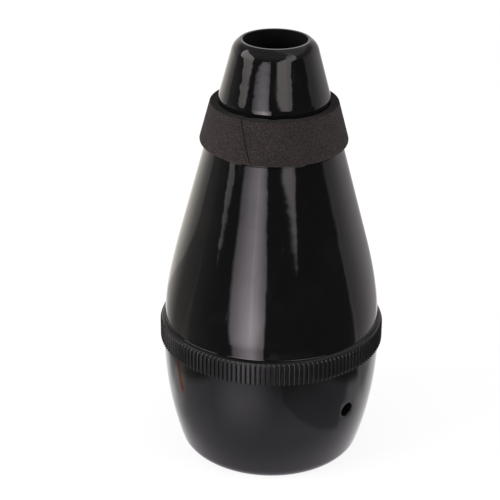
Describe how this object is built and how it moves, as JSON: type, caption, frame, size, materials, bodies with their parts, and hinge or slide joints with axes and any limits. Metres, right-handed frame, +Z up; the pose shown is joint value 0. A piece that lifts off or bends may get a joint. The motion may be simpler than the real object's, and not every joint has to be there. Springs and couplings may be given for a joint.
{
  "type": "practice mute",
  "caption": "Black two-shell practice mute for a small brass bell: open-necked cone with a foam bell seal, ribbed screw collar and vented round-bottomed bowl.",
  "frame": {"origin": "centre of the flat base, on the surface that the mute stands on", "axes": "+Z up the axis of the mute to the open neck; -Y is the side that faces the camera in the picture; +X is to its right"},
  "size_m": [0.0852, 0.0852, 0.1639],
  "materials": {
    "gloss_shell": "polished black moulded plastic with sharp reflections",
    "satin_plastic": "satin black moulded plastic",
    "seal_foam": "dense closed-cell foam, dark warm grey, finely speckled and matt",
    "pad_foam": "open-cell foam, dark grey and matt",
    "gasket_rubber": "soft black sheet rubber, matt"
  },
  "bodies": {
    "bowl": {"lower_bowl": "gloss_shell", "damping_pad": "pad_foam", "seam_gasket": "gasket_rubber"},
    "collar": {"grip_collar": "satin_plastic"},
    "cone": {"upper_cone": "gloss_shell", "inner_tube": "satin_plastic", "neck_seal": "seal_foam"}
  },
  "joints": [
    {"name": "collar_spin", "type": "hinge", "parent": "bowl", "child": "collar", "pos_m": [0, 0, 0.051], "axis": [0, 0, -1], "range_deg": [0, 450]},
    {"name": "cone_lift", "type": "slide", "parent": "bowl", "child": "cone", "axis": [0, 0, 1], "range_m": [0, 0.00313]}
  ],
  "couplings": [
    {"joint": "collar_spin", "follows": "cone_lift", "rad_per_m": 2513.3}
  ]
}
